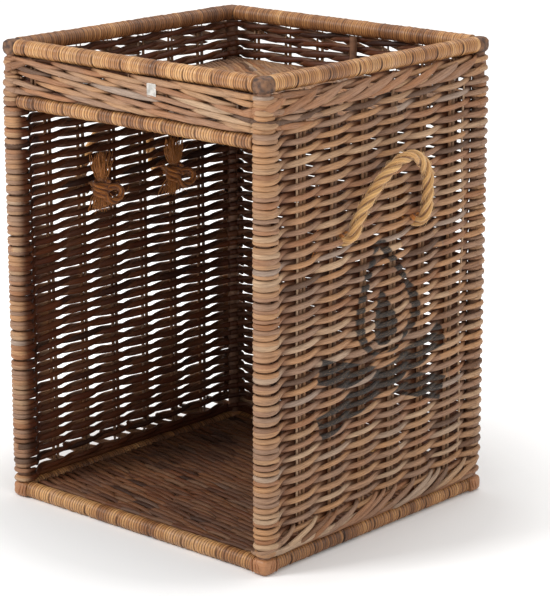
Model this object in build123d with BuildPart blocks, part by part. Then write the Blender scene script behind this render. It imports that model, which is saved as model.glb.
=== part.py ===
"""An open-fronted log basket: a rattan pole frame bound in cane, three woven walls and a tray in its top.

Millimetres. The origin is the centre of the footprint on the ground, +Z is up, the open front faces -Y
and the two rope handles are on the -X and +X walls.
"""

import os
from math import pi, radians, tan

from build123d import *

# Driving dimensions
WIDTH = 500  # over the bound rims, along X
DEPTH = 480  # over the bound rims, along Y
HEIGHT = 680
RIM_DIAMETER = 24  # a pole with its cane binding
POLE_DIAMETER = 19
POST_DIAMETER = 18
MIDDLE_RAIL_Z = 592  # the rail over the front opening
MIDDLE_RAIL_DIAMETER = 22
FOOT_FLAT = 0.6  # how much of the base binding is worn flat where it stands
WEAVE = 18  # thickness of a woven wall
WEAVE_PROUD = 2.5  # how far the weave stands outside the rims
WRAP = 28  # across the weavers that turn round a corner post
BORDER_TOP = 29  # height of the plaited band under the top rim
BORDER_BASE = 35  # height of the plaited band over the base rim
STAKE_DIAMETER = 5
STAKE_GAP = 8.5  # between the two stakes of a pair, centre to centre
STAKE_PITCH = 64  # between one pair and the next
SIDE_PAIRS = 6
BACK_PAIRS = 7
TRAY_Z = 588  # underside of the tray floor
TRAY_THICKNESS = 12
FASCIA_THICKNESS = 16  # woven band over the front opening
FASCIA_Y = 4  # how far its middle stands in front of the rims' centre line
FLOOR_Z = 8  # underside of the log floor
FLOOR_THICKNESS = 14
BEARER_DIAMETER = 14
UPRIGHT_DIAMETER = 11  # pole against the back wall, in the tray recess
UPRIGHT_X = 14
FLOOR_ROD_DIAMETER = 7
FLOOR_ROD_PITCH = 68
FLOOR_RODS = 6
ROPE_DIAMETER = 16.5
ROPE_HOLE_Y = 77  # each rope goes through its wall at -Y and +Y of this
ROPE_HOLE_Z = 444
ROPE_PIVOT = 11.5  # from the wall's outer face out to the line that a handle swings about
KNOT_RADIUS = 17
NAIL_DIAMETER = 1.6
NAIL_LENGTH = 33
TAG_WIDTH = 17
TAG_HEIGHT = 18
TAG_THICKNESS = 0.8
TAG_X = 48
TAG_Z = 641
GAP = 0.2  # between parts that lie against each other

# Places worked out from them
RIM_X = WIDTH / 2 - RIM_DIAMETER / 2
RIM_Y = DEPTH / 2 - RIM_DIAMETER / 2
TOP_Z = HEIGHT - RIM_DIAMETER / 2
BASE_Z = RIM_DIAMETER / 2 - FOOT_FLAT
OUT_X = WIDTH / 2 + WEAVE_PROUD
OUT_Y = DEPTH / 2 + WEAVE_PROUD
IN_X = OUT_X - WRAP
IN_Y = OUT_Y - WRAP
WALL_LOW = BASE_Z + RIM_DIAMETER / 2 + GAP
WALL_HIGH = TOP_Z - RIM_DIAMETER / 2 - GAP
WEAVE_LOW = WALL_LOW + BORDER_BASE
WEAVE_HIGH = WALL_HIGH - BORDER_TOP
STAKE_IN = OUT_X - WEAVE / 2
STAKE_OVERLAP = 14  # how far a stake runs into each plaited band
UPRIGHT_Y = OUT_Y - WEAVE - GAP - UPRIGHT_DIAMETER / 2
POLE_END = POLE_DIAMETER / 2 + GAP  # from a post's middle to the ends of the poles that meet there
CORNERS = {
    "front_left": (-1, -1),
    "front_right": (1, -1),
    "back_left": (-1, 1),
    "back_right": (1, 1),
}

# The free rope of the right handle, from its front pivot up over the top and down to its back pivot.
PIVOT_X = OUT_X + ROPE_PIVOT
HANDLE_ROUTE = [
    (PIVOT_X, -ROPE_HOLE_Y, ROPE_HOLE_Z),
    (PIVOT_X + 2, -73, 464),
    (PIVOT_X + 4, -56, 488),
    (PIVOT_X + 6, -34, 511),
    (PIVOT_X + 9, -10, 530),
    (PIVOT_X + 11, 14, 542),
    (PIVOT_X + 12, 40, 542),
    (PIVOT_X + 12, 60, 526),
    (PIVOT_X + 10, 71, 506),
    (PIVOT_X + 6, 75, 482),
    (PIVOT_X + 3, 78, 461),
    (PIVOT_X, ROPE_HOLE_Y, ROPE_HOLE_Z),
]

os.makedirs("parts", exist_ok=True)


def nail_planes(side_x, side_y):
    """Where the nails of one corner start, on the far side of the post, each plane facing its pole."""
    start = POST_DIAMETER / 2 - GAP
    along_x = [TOP_Z + 3, BASE_Z + 3] + ([MIDDLE_RAIL_Z] if side_y < 0 else [])
    along_y = [TOP_Z - 3, BASE_Z - 3]
    planes = [
        Plane((side_x * (RIM_X + start), side_y * RIM_Y, z), z_dir=(-side_x, 0, 0))
        for z in along_x
    ]
    planes += [
        Plane((side_x * RIM_X, side_y * (RIM_Y + start), z), z_dir=(0, -side_y, 0))
        for z in along_y
    ]
    return planes


def nail_locations(corners):
    return [plane.location for corner in corners for plane in nail_planes(*CORNERS[corner])]


def drill_for_nails(corners):
    """Cuts the nail holes of some corners out of the part being built."""
    with Locations(*nail_locations(corners)):
        Cylinder(
            NAIL_DIAMETER / 2 + 0.05,
            NAIL_LENGTH + 1,
            align=(Align.CENTER, Align.CENTER, Align.MIN),
            mode=Mode.SUBTRACT,
        )


def pair_places(pairs):
    """Places of single stakes along a wall, two to a pair, centred on the wall."""
    middles = [(i - (pairs - 1) / 2) * STAKE_PITCH for i in range(pairs)]
    return [middle + side * STAKE_GAP / 2 for middle in middles for side in (-1, 1)]


def rod_places():
    return [(i - (FLOOR_RODS - 1) / 2) * FLOOR_ROD_PITCH for i in range(FLOOR_RODS)]


# Corner posts, each with the weavers that turn round it
for corner, (side_x, side_y) in CORNERS.items():
    with BuildPart() as post:
        with BuildSketch(Plane.XY.offset(2)):
            with Locations((side_x * RIM_X, side_y * RIM_Y)):
                Circle(POST_DIAMETER / 2)
        extrude(amount=HEIGHT - 4)
        chamfer(post.edges().group_by(Axis.Z)[-1], length=1)
        drill_for_nails([corner])
    post.part.label = f"{corner}_post"
    export_step(post.part, f"parts/{corner}_post.step")

    with BuildPart() as wrap:
        with BuildSketch(Plane.XY.offset(WALL_LOW)):
            with Locations((side_x * (OUT_X - WRAP / 2), side_y * (OUT_Y - WRAP / 2))):
                RectangleRounded(WRAP, WRAP, radius=8)
            with Locations((side_x * RIM_X, side_y * RIM_Y)):
                Circle(POST_DIAMETER / 2 + GAP, mode=Mode.SUBTRACT)
        extrude(amount=WALL_HIGH - WALL_LOW)
        drill_for_nails([corner])
    wrap.part.label = f"{corner}_post_wrap"
    export_step(wrap.part, f"parts/{corner}_post_wrap.step")

# Cane caps over the four feet, where the base poles meet the posts
with BuildPart() as caps:
    for side_x, side_y in CORNERS.values():
        with BuildSketch():
            with Locations((side_x * RIM_X, side_y * RIM_Y)):
                RectangleRounded(RIM_DIAMETER + 2, RIM_DIAMETER + 2, radius=9)
                Circle(POST_DIAMETER / 2 + GAP, mode=Mode.SUBTRACT)
        extrude(amount=WALL_LOW - GAP)
    for side_x, side_y in CORNERS.values():
        with BuildSketch(Plane.YZ.offset(side_x * RIM_X)):
            with Locations((side_y * RIM_Y, BASE_Z)):
                Circle(POLE_DIAMETER / 2 + GAP)
        extrude(amount=-side_x * RIM_DIAMETER, mode=Mode.SUBTRACT)
        with BuildSketch(Plane.XZ.offset(-side_y * RIM_Y)):
            with Locations((side_x * RIM_X, BASE_Z)):
                Circle(POLE_DIAMETER / 2 + GAP)
        extrude(amount=side_y * RIM_DIAMETER, mode=Mode.SUBTRACT)
caps.part.label = "foot_caps"
export_step(caps.part, "parts/foot_caps.step")


# Poles of the two rims and the middle rail, and the cane bound round each
def pole_plane(side, z):
    """The middle plane across the pole on one side of the basket, and the pole's reach from it."""
    if side in ("front", "back"):
        y = -RIM_Y if side == "front" else RIM_Y
        return Plane((0, y, z), x_dir=(0, 1, 0), z_dir=(1, 0, 0)), RIM_X
    x = -RIM_X if side == "left" else RIM_X
    return Plane((x, 0, z), x_dir=(1, 0, 0), z_dir=(0, 1, 0)), RIM_Y


RAILS = [(f"top_{side}", side, TOP_Z) for side in ("front", "back", "left", "right")]
RAILS += [(f"base_{side}", side, BASE_Z) for side in ("front", "back", "left", "right")]
RAILS += [("middle_front", "front", MIDDLE_RAIL_Z)]

for rail, side, z in RAILS:
    plane, reach = pole_plane(side, z)
    is_middle = rail == "middle_front"
    outside = (MIDDLE_RAIL_DIAMETER if is_middle else RIM_DIAMETER) / 2
    pole_radius = POLE_DIAMETER / 2 - (1 if is_middle else 0)
    pole_reach = IN_X - GAP if is_middle else reach - POLE_END
    bound_reach = pole_reach
    if rail in ("top_front", "top_back"):
        bound_reach = reach - RIM_DIAMETER / 2 - GAP
    if rail.startswith("base"):
        bound_reach = reach - RIM_DIAMETER / 2 - 1 - GAP

    with BuildPart() as pole:
        with BuildSketch(plane):
            Circle(pole_radius)
        extrude(amount=pole_reach, both=True)
        drill_for_nails(CORNERS)
    pole.part.label = f"{rail}_pole"
    export_step(pole.part, f"parts/{rail}_pole.step")

    with BuildPart() as binding:
        with BuildSketch(plane):
            Circle(outside)
            Circle(pole_radius + GAP / 2, mode=Mode.SUBTRACT)
        extrude(amount=bound_reach, both=True)
        if rail.startswith("base"):
            split(bisect_by=Plane.XY, keep=Keep.TOP)
    binding.part.label = f"{rail}_binding"
    export_step(binding.part, f"parts/{rail}_binding.step")


# Woven side walls with their plaited bands, stakes and rope holes
for side, side_x in (("left", -1), ("right", 1)):
    stake_x = side_x * STAKE_IN
    bands = [
        (f"{side}_wall_base_border", WALL_LOW, WEAVE_LOW - GAP),
        (f"{side}_wall_weave", WEAVE_LOW, WEAVE_HIGH),
        (f"{side}_wall_top_border", WEAVE_HIGH + GAP, WALL_HIGH),
    ]
    stake_low = WEAVE_LOW - STAKE_OVERLAP
    stake_high = WEAVE_HIGH + STAKE_OVERLAP
    for name, low, high in bands:
        with BuildPart() as wall:
            with BuildSketch(Plane.XY.offset(low)):
                with Locations((stake_x, 0)):
                    Rectangle(WEAVE, 2 * (IN_Y - GAP))
            extrude(amount=high - low)
            with BuildSketch(Plane.XY.offset(stake_low - GAP)):
                with Locations(*[(stake_x, y) for y in pair_places(SIDE_PAIRS)]):
                    Circle(STAKE_DIAMETER / 2 + GAP)
            extrude(amount=stake_high - stake_low + 2 * GAP, mode=Mode.SUBTRACT)
            if name.endswith("weave"):
                with BuildSketch(Plane.YZ.offset(stake_x)):
                    with Locations(*[(y * ROPE_HOLE_Y, ROPE_HOLE_Z) for y in (-1, 1)]):
                        Circle(ROPE_DIAMETER / 2 + GAP)
                extrude(amount=WEAVE, both=True, mode=Mode.SUBTRACT)
        wall.part.label = name
        export_step(wall.part, f"parts/{name}.step")

    with BuildPart() as stakes:
        with BuildSketch(Plane.XY.offset(stake_low)):
            with Locations(*[(stake_x, y) for y in pair_places(SIDE_PAIRS)]):
                Circle(STAKE_DIAMETER / 2)
        extrude(amount=stake_high - stake_low)
    stakes.part.label = f"{side}_wall_stakes"
    export_step(stakes.part, f"parts/{side}_wall_stakes.step")

# Woven back wall
back_y = OUT_Y - WEAVE / 2
back_places = [(x, back_y) for x in pair_places(BACK_PAIRS)]
stake_low = WEAVE_LOW - STAKE_OVERLAP
stake_high = WEAVE_HIGH + STAKE_OVERLAP
for name, low, high in (
    ("back_wall_base_border", WALL_LOW, WEAVE_LOW - GAP),
    ("back_wall_weave", WEAVE_LOW, WEAVE_HIGH),
    ("back_wall_top_border", WEAVE_HIGH + GAP, WALL_HIGH),
):
    with BuildPart() as wall:
        with BuildSketch(Plane.XY.offset(low)):
            with Locations((0, back_y)):
                Rectangle(2 * (IN_X - GAP), WEAVE)
        extrude(amount=high - low)
        with BuildSketch(Plane.XY.offset(stake_low - GAP)):
            with Locations(*back_places):
                Circle(STAKE_DIAMETER / 2 + GAP)
        extrude(amount=stake_high - stake_low + 2 * GAP, mode=Mode.SUBTRACT)
    wall.part.label = name
    export_step(wall.part, f"parts/{name}.step")

with BuildPart() as back_stakes:
    with BuildSketch(Plane.XY.offset(stake_low)):
        with Locations(*back_places):
            Circle(STAKE_DIAMETER / 2)
    extrude(amount=stake_high - stake_low)
back_stakes.part.label = "back_wall_stakes"
export_step(back_stakes.part, "parts/back_wall_stakes.step")

# Woven band over the front opening, between the middle rail and the top rim
fascia_y = -(RIM_Y + FASCIA_Y)
fascia_low = MIDDLE_RAIL_Z + MIDDLE_RAIL_DIAMETER / 2 + GAP
fascia_places = [(x, fascia_y) for x in pair_places(BACK_PAIRS)]

with BuildPart() as fascia:
    with BuildSketch(Plane.XY.offset(fascia_low)):
        with Locations((0, fascia_y)):
            Rectangle(2 * (IN_X - GAP), FASCIA_THICKNESS)
        with Locations(*fascia_places):
            Circle(STAKE_DIAMETER / 2 + GAP, mode=Mode.SUBTRACT)
    extrude(amount=WALL_HIGH - fascia_low)
fascia.part.label = "front_band_weave"
export_step(fascia.part, "parts/front_band_weave.step")

with BuildPart() as fascia_stakes:
    with BuildSketch(Plane.XY.offset(fascia_low)):
        with Locations(*fascia_places):
            Circle(STAKE_DIAMETER / 2)
    extrude(amount=WALL_HIGH - fascia_low)
fascia_stakes.part.label = "front_band_stakes"
export_step(fascia_stakes.part, "parts/front_band_stakes.step")


# The log floor and the tray floor, woven over rods that run from front to back
def floor_outline(half_x, front, back):
    """Corners of a floor with a notch for each corner post, from front left anticlockwise."""
    notch_x = IN_X - GAP
    notch_y = IN_Y - GAP
    return [
        (-notch_x, front),
        (notch_x, front),
        (notch_x, -notch_y),
        (half_x, -notch_y),
        (half_x, notch_y),
        (notch_x, notch_y),
        (notch_x, back),
        (-notch_x, back),
        (-notch_x, notch_y),
        (-half_x, notch_y),
        (-half_x, -notch_y),
        (-notch_x, -notch_y),
    ]


rim_inside = RIM_DIAMETER / 2 + GAP
rail_inside = -RIM_Y + MIDDLE_RAIL_DIAMETER / 2 + GAP
FLOORS = [
    ("log_floor", FLOOR_Z, FLOOR_THICKNESS, RIM_X - rim_inside, -RIM_Y + rim_inside, RIM_Y - rim_inside),
    ("tray_floor", TRAY_Z, TRAY_THICKNESS, OUT_X - WEAVE - GAP, rail_inside, OUT_Y - WEAVE - GAP),
]
for name, low, thickness, half_x, front, back in FLOORS:
    rod_plane = Plane((0, front, low + thickness / 2), x_dir=(1, 0, 0), z_dir=(0, 1, 0))
    places = [(x, 0) for x in rod_places()]
    with BuildPart() as floor:
        with BuildSketch(Plane.XY.offset(low)):
            with BuildLine():
                Polyline(*floor_outline(half_x, front, back), close=True)
            make_face()
        extrude(amount=thickness)
        with BuildSketch(rod_plane):
            with Locations(*places):
                Circle(FLOOR_ROD_DIAMETER / 2 + GAP)
        extrude(amount=back - front, mode=Mode.SUBTRACT)
        if name == "tray_floor":
            with BuildSketch(Plane.XY.offset(low)):
                with Locations((UPRIGHT_X, UPRIGHT_Y)):
                    Circle(UPRIGHT_DIAMETER / 2 + GAP)
            extrude(amount=thickness, mode=Mode.SUBTRACT)
    floor.part.label = f"{name}_weave"
    export_step(floor.part, f"parts/{name}_weave.step")

    with BuildPart() as rods:
        with BuildSketch(rod_plane):
            with Locations(*places):
                Circle(FLOOR_ROD_DIAMETER / 2)
        extrude(amount=back - front)
    rods.part.label = f"{name}_rods"
    export_step(rods.part, f"parts/{name}_rods.step")

# Poles under the tray floor that carry it along the walls
bearer_z = TRAY_Z - GAP - BEARER_DIAMETER / 2
bearer_x = OUT_X - WEAVE - GAP - BEARER_DIAMETER / 2
bearer_y = OUT_Y - WEAVE - GAP - BEARER_DIAMETER / 2
BEARERS = [
    ("tray_left_bearer", Plane((-bearer_x, 0, bearer_z), z_dir=(0, 1, 0)), IN_Y - GAP),
    ("tray_right_bearer", Plane((bearer_x, 0, bearer_z), z_dir=(0, 1, 0)), IN_Y - GAP),
    ("tray_back_bearer", Plane((0, bearer_y, bearer_z), z_dir=(1, 0, 0)), bearer_x - BEARER_DIAMETER),
]
for name, plane, reach in BEARERS:
    with BuildPart() as bearer:
        with BuildSketch(plane):
            Circle(BEARER_DIAMETER / 2)
        extrude(amount=reach, both=True)
        chamfer(bearer.edges(), length=1)
    bearer.part.label = name
    export_step(bearer.part, f"parts/{name}.step")

# Upright from the back bearer through the tray floor to the rim, against the inside of the back wall
with BuildPart() as upright:
    with BuildSketch(Plane.XY.offset(TRAY_Z)):
        with Locations((UPRIGHT_X, UPRIGHT_Y)):
            Circle(UPRIGHT_DIAMETER / 2)
    extrude(amount=WALL_HIGH - TRAY_Z)
upright.part.label = "tray_back_upright"
export_step(upright.part, "parts/tray_back_upright.step")


# Rope handles: a free rope outside each wall, and its two knotted ends that go in through the weave
def bend_radii(points):
    """For each corner of a route, 0.45 of its shorter run over the tangent of half the turn."""
    radii = []
    for before, corner, after in zip(points, points[1:], points[2:]):
        run_in = Vector(corner) - Vector(before)
        run_out = Vector(after) - Vector(corner)
        shorter = min(run_in.length, run_out.length)
        radii.append(0.45 * shorter / tan(radians(run_in.get_angle(run_out)) / 2))
    return radii


for side, side_x in (("left", -1), ("right", 1)):
    route = [(side_x * x, y, z) for x, y, z in HANDLE_ROUTE]
    radii = bend_radii(route)
    with BuildPart() as rope:
        with BuildLine() as path:
            FilletPolyline(*route, radius=radii)
        start = Plane(path.line @ 0, z_dir=path.line % 0)
        with BuildSketch(start):
            Circle(ROPE_DIAMETER / 2)
        sweep()
        length = path.wires()[0].length
        share = rope.part.volume / (pi * (ROPE_DIAMETER / 2) ** 2 * length)
        print(f"{side} handle: {length:.1f} mm free, {share:.4f} of section times length")
        print("  bend radii", [round(radius) for radius in radii])
        with Locations(route[0], route[-1]):
            Sphere(ROPE_DIAMETER / 2 - GAP)
    rope.part.label = f"{side}_rope_handle"
    export_step(rope.part, f"parts/{side}_rope_handle.step")

    knot_x = side_x * (OUT_X - WEAVE - GAP - KNOT_RADIUS)
    tail_end = side_x * (PIVOT_X - ROPE_DIAMETER / 2 - 3 * GAP)
    for place, side_y in (("front", -1), ("back", 1)):
        hole_y = side_y * ROPE_HOLE_Y
        with BuildPart() as knot:
            with BuildSketch(Plane.YZ.offset(tail_end)):
                with Locations((hole_y, ROPE_HOLE_Z)):
                    Circle(ROPE_DIAMETER / 2)
            extrude(amount=knot_x - tail_end)
            with Locations((knot_x, hole_y, ROPE_HOLE_Z + 2)):
                Sphere(KNOT_RADIUS)
            with Locations((knot_x, hole_y, ROPE_HOLE_Z + KNOT_RADIUS)):
                Cone(8, 12, 36, align=(Align.CENTER, Align.CENTER, Align.MIN))
        knot.part.label = f"{side}_{place}_rope_knot"
        export_step(knot.part, f"parts/{side}_{place}_rope_knot.step")

# Nails through the posts into the pole ends
with BuildPart() as nails:
    with Locations(*nail_locations(CORNERS)):
        Cylinder(
            NAIL_DIAMETER / 2,
            NAIL_LENGTH,
            align=(Align.CENTER, Align.CENTER, Align.MIN),
        )
nails.part.label = "frame_nails"
export_step(nails.part, "parts/frame_nails.step")

# Blank metal tag folded over a weaver of the front band
with BuildPart() as tag:
    with BuildSketch(Plane.XZ.offset(-fascia_y + FASCIA_THICKNESS / 2 + GAP)):
        with Locations((TAG_X, TAG_Z)):
            RectangleRounded(TAG_WIDTH, TAG_HEIGHT, radius=2)
    extrude(amount=TAG_THICKNESS)
tag.part.label = "blank_tag"
export_step(tag.part, "parts/blank_tag.step")
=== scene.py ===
"""Looks of a woven rattan log basket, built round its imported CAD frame.

Metres, in the frame's axes: +Z is up, the open front faces -Y, and a rope handle hangs on the -X and the
+X wall. The weave is made strand by strand. Every strand is a swept tube whose path comes from the places
of the posts, the stake pairs and the walls in the frame.
"""

import math

import bpy
import numpy as np
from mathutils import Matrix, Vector


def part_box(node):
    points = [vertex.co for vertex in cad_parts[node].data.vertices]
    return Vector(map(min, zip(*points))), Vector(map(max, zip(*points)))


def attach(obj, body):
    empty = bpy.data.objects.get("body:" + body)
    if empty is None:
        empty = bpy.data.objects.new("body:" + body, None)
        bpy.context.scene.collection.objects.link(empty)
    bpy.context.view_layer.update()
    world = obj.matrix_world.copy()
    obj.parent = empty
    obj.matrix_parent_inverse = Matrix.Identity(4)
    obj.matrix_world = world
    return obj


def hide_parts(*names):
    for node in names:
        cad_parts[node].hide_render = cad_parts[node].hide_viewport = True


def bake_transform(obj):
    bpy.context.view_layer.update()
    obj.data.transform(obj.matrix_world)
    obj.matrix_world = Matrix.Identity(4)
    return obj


MM = 0.001
UP = (0.0, 0.0, 1.0)
ACROSS_X = (1.0, 0.0, 0.0)
ACROSS_Y = (0.0, 1.0, 0.0)
rng = np.random.default_rng(11)

# Counts and sizes that the frame's boxes don't give
SIDE_PAIRS = 6
BACK_PAIRS = 7
STAKE_DIAMETER = 5 * MM
STAKE_GAP = 8.5 * MM  # between the two stakes of a pair
ROWS = 38  # rows of weave on the walls
FLOOR_RODS = 6
STRAND_HEIGHT = 9.0 * MM
STRAND_THICKNESS = 6.3 * MM
STRAND_STEP = 4.2 * MM  # between the rings of a strand's mesh
ROPE_DIAMETER = 16.5 * MM
RIM_PITCH = 3.9 * MM  # one turn of the cane on the top rim
BASE_PITCH = 4.8 * MM  # and on the base rim and the middle rail
NOTCH_PITCH = 62 * MM  # between the slots that the bent-down stakes leave in a rim's binding

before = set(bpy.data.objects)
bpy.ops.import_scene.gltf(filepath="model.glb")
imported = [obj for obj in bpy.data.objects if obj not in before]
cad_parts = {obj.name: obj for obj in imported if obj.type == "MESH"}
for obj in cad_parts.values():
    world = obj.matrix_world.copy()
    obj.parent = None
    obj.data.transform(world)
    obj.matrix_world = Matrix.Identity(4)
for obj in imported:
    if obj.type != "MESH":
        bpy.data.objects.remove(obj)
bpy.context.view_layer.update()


def middle(node):
    low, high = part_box(node)
    return (low + high) / 2


SIDE_X = middle("right_wall_weave").x
BACK_Y = middle("back_wall_weave").y
FRONT_Y = -middle("front_band_weave").y
POST_X = middle("back_right_post").x
POST_Y = middle("back_right_post").y
ROW_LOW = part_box("right_wall_weave")[0].z
ROW_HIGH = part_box("right_wall_weave")[1].z
WALL_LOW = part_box("right_wall_base_border")[0].z
WALL_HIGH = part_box("right_wall_top_border")[1].z
BAND_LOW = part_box("front_band_weave")[0].z
ROW_PITCH = (ROW_HIGH - ROW_LOW) / ROWS
WRAP_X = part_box("back_right_post_wrap")[0].x  # where a wall ends and the weavers round its post begin
WRAP_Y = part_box("back_right_post_wrap")[0].y
RIM_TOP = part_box("top_front_binding")[1].z
RIM_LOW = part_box("top_front_binding")[0].z
BASE_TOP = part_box("base_front_binding")[1].z


# ---------------------------------------------------------------- camera, light and floor

PHOTO_AZIMUTH = math.radians(41.71)
PHOTO_ELEVATION = math.radians(14.99)
PHOTO_DISTANCE = 3.319
PHOTO_TARGET = Vector((0.1347, -0.0907, 0.340))
PHOTO_LENS = 144.7

LIGHTS = [  # name, place, the point it faces, size and power in watts
    ("key", (-1.3, -2.7, 2.6), (0, 0, 0.35), 1.1, 82),
    ("side", (3.0, -1.4, 1.7), (0.1, 0, 0.35), 1.4, 22),
    ("top", (0.3, 0.6, 3.0), (0, 0, 0.5), 1.4, 30),
]
SKY_COLOUR = (1.0, 0.99, 0.975, 1)
SKY_STRENGTH = 0.62
FLOOR_REACH = 14
FLOOR_WHITE = (0.90, 0.90, 0.90, 1)
GLOW_START = 0.37  # from the middle of the basket
GLOW_END = 0.75
GLOW_STRENGTH = 0.52


def make_camera():
    data = bpy.data.cameras.new("camera")
    data.lens = PHOTO_LENS
    camera = bpy.data.objects.new("camera", data)
    bpy.context.scene.collection.objects.link(camera)
    level_reach = math.cos(PHOTO_ELEVATION)
    away_x = math.sin(PHOTO_AZIMUTH) * level_reach
    away_y = -math.cos(PHOTO_AZIMUTH) * level_reach
    away = Vector((away_x, away_y, math.sin(PHOTO_ELEVATION)))
    camera.location = PHOTO_TARGET + away * PHOTO_DISTANCE
    camera.rotation_euler = away.to_track_quat("Z", "Y").to_euler()
    bpy.context.scene.camera = camera


def make_area_light(name, place, aim, size, power):
    data = bpy.data.lights.new(name, "AREA")
    data.size = size
    data.energy = power
    light = bpy.data.objects.new(name, data)
    bpy.context.scene.collection.objects.link(light)
    light.location = place
    light.rotation_euler = (Vector(place) - Vector(aim)).to_track_quat("Z", "Y").to_euler()


def make_studio():
    scene = bpy.context.scene
    scene.view_settings.view_transform = "Standard"
    world = bpy.data.worlds.new("studio")
    world.use_nodes = True
    background = world.node_tree.nodes["Background"]
    background.inputs["Color"].default_value = SKY_COLOUR
    background.inputs["Strength"].default_value = SKY_STRENGTH
    scene.world = world
    for light in LIGHTS:
        make_area_light(*light)

    mesh = bpy.data.meshes.new("floor")
    corners = [(x * FLOOR_REACH, y * FLOOR_REACH, 0) for x, y in ((-1, -1), (1, -1), (1, 1), (-1, 1))]
    mesh.from_pydata(corners, [], [(0, 1, 2, 3)])
    floor = bpy.data.objects.new("floor", mesh)
    scene.collection.objects.link(floor)
    mesh.materials.append(floor_shader())


def floor_shader():
    """White paper that also glows a little away from the basket, like a lit studio sweep."""
    shader = Shader("floor")
    distance = shader.node("ShaderNodeVectorMath", {0: shader.place()}, operation="LENGTH").outputs["Value"]
    return shader.finish(
        Base_Color=FLOOR_WHITE,
        Roughness=0.85,
        Specular_IOR_Level=0.2,
        Emission_Color=(1, 1, 1, 1),
        Emission_Strength=shader.level(distance, GLOW_START, GLOW_END, 0.0, GLOW_STRENGTH),
    )


# ---------------------------------------------------------------- materials


def srgb(red, green, blue):
    """A colour given as sRGB numbers up to 255, as Blender's linear RGBA."""
    linear = [
        c / 12.92 if c <= 0.04045 else ((c + 0.055) / 1.055) ** 2.4
        for c in (red / 255, green / 255, blue / 255)
    ]
    return (*linear, 1.0)


class Shader:
    """One material's node tree, with short calls to add and link nodes."""

    def __init__(self, name):
        self.material = bpy.data.materials.new(name)
        self.material.use_nodes = True
        self.tree = self.material.node_tree
        self.surface = self.tree.nodes["Principled BSDF"]

    def node(self, kind, inputs=(), **settings):
        node = self.tree.nodes.new(kind)
        for name, value in settings.items():
            setattr(node, name, value)
        for socket, value in dict(inputs).items():
            self.put(node, socket, value)
        return node

    def put(self, node, socket, value):
        if isinstance(value, bpy.types.NodeSocket):
            self.tree.links.new(value, node.inputs[socket])
        else:
            node.inputs[socket].default_value = value

    def place(self):
        return self.node("ShaderNodeTexCoord").outputs["Object"]

    def strand_values(self):
        """Where a point lies on its strand, the strand's tone, and how much painted shade it gets where it
        lies hidden.
        """
        outputs = {"grain": "Vector", "tone": "Fac", "recess_shade": "Fac"}
        return [self.node("ShaderNodeAttribute", attribute_name=n).outputs[out] for n, out in outputs.items()]

    def math(self, operation, first, second=0.0, clamp=False):
        inputs = {0: first, 1: second}
        return self.node("ShaderNodeMath", inputs, operation=operation, use_clamp=clamp).outputs[0]

    def plus(self, first, second):
        return self.math("ADD", first, second)

    def minus(self, first, second):
        return self.math("SUBTRACT", first, second)

    def times(self, first, second):
        return self.math("MULTIPLY", first, second)

    def stretch(self, vector, scale):
        return self.node("ShaderNodeMapping", {"Vector": vector, "Scale": scale}).outputs[0]

    def noise(self, vector, scale, detail=3.0, roughness=0.55):
        inputs = {"Vector": vector, "Scale": scale, "Detail": detail, "Roughness": roughness}
        return self.node("ShaderNodeTexNoise", inputs).outputs["Fac"]

    def ramp(self, factor, stops):
        node = self.node("ShaderNodeValToRGB", {"Fac": factor})
        elements = node.color_ramp.elements
        while len(elements) < len(stops):
            elements.new(0.5)
        for element, (place, colour) in zip(elements, stops):
            element.position = place
            element.color = colour
        return node.outputs["Color"]

    def level(self, factor, low, high, out_low=0.0, out_high=1.0):
        """The factor's range from low to high, spread over the range from out_low to out_high."""
        inputs = {"Value": factor, "From Min": low, "From Max": high, "To Min": out_low, "To Max": out_high}
        return self.node("ShaderNodeMapRange", inputs).outputs["Result"]

    def mix(self, factor, first, second, blend="MIX"):
        node = self.node("ShaderNodeMix", data_type="RGBA", blend_type=blend)
        self.put(node, 0, factor)
        self.put(node, 6, first)
        self.put(node, 7, second)
        return node.outputs[2]

    def bump(self, height, strength, distance):
        inputs = {"Height": height, "Strength": strength, "Distance": distance}
        return self.node("ShaderNodeBump", inputs).outputs["Normal"]

    def finish(self, **sockets):
        """The material, with these values on its surface shader's sockets."""
        for name, value in sockets.items():
            self.put(self.surface, name.replace("_", " "), value)
        return self.material


def palette(*stops):
    """A ramp's stops, each given as its place from 0 to 1 and an sRGB colour."""
    return [(place, srgb(*colour)) for place, *colour in stops]


# Colours by a strand's tone
WEAVER_COLOURS = palette(
    (0.00, 86, 58, 40), (0.16, 126, 86, 58), (0.32, 162, 110, 72), (0.48, 148, 116, 94),
    (0.62, 180, 132, 90), (0.76, 172, 132, 96), (0.88, 192, 158, 124), (1.00, 160, 138, 122),
)
CANE_COLOURS = palette(
    (0.0, 96, 60, 36), (0.3, 142, 94, 56), (0.6, 182, 130, 80), (0.85, 212, 162, 106), (1.0, 196, 148, 104)
)
SKIN_COLOURS = palette((0.0, 112, 68, 42), (0.5, 164, 110, 72), (1.0, 196, 146, 102))
JUTE_COLOURS = palette((0.0, 132, 76, 32), (0.35, 190, 130, 66), (0.65, 226, 178, 112), (1.0, 246, 214, 160))
OLD_JUTE_COLOURS = palette((0.0, 134, 72, 22), (0.5, 204, 126, 50), (1.0, 238, 170, 92))
POST_END_COLOURS = palette((0.38, 60, 36, 22), (0.62, 140, 98, 66))
POLE_COLOURS = palette((0.35, 104, 68, 46), (0.65, 134, 94, 66))
INNER_SHADE_COLOUR = srgb(138, 98, 70)  # painted shade: multiplies the weave where it is hidden
# painted shade in the grooves between turns of cane and in the rims' slots
GROOVE_SHADE_COLOUR = srgb(70, 42, 24)
PAINT_COLOUR = srgb(27, 25, 24)


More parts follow.
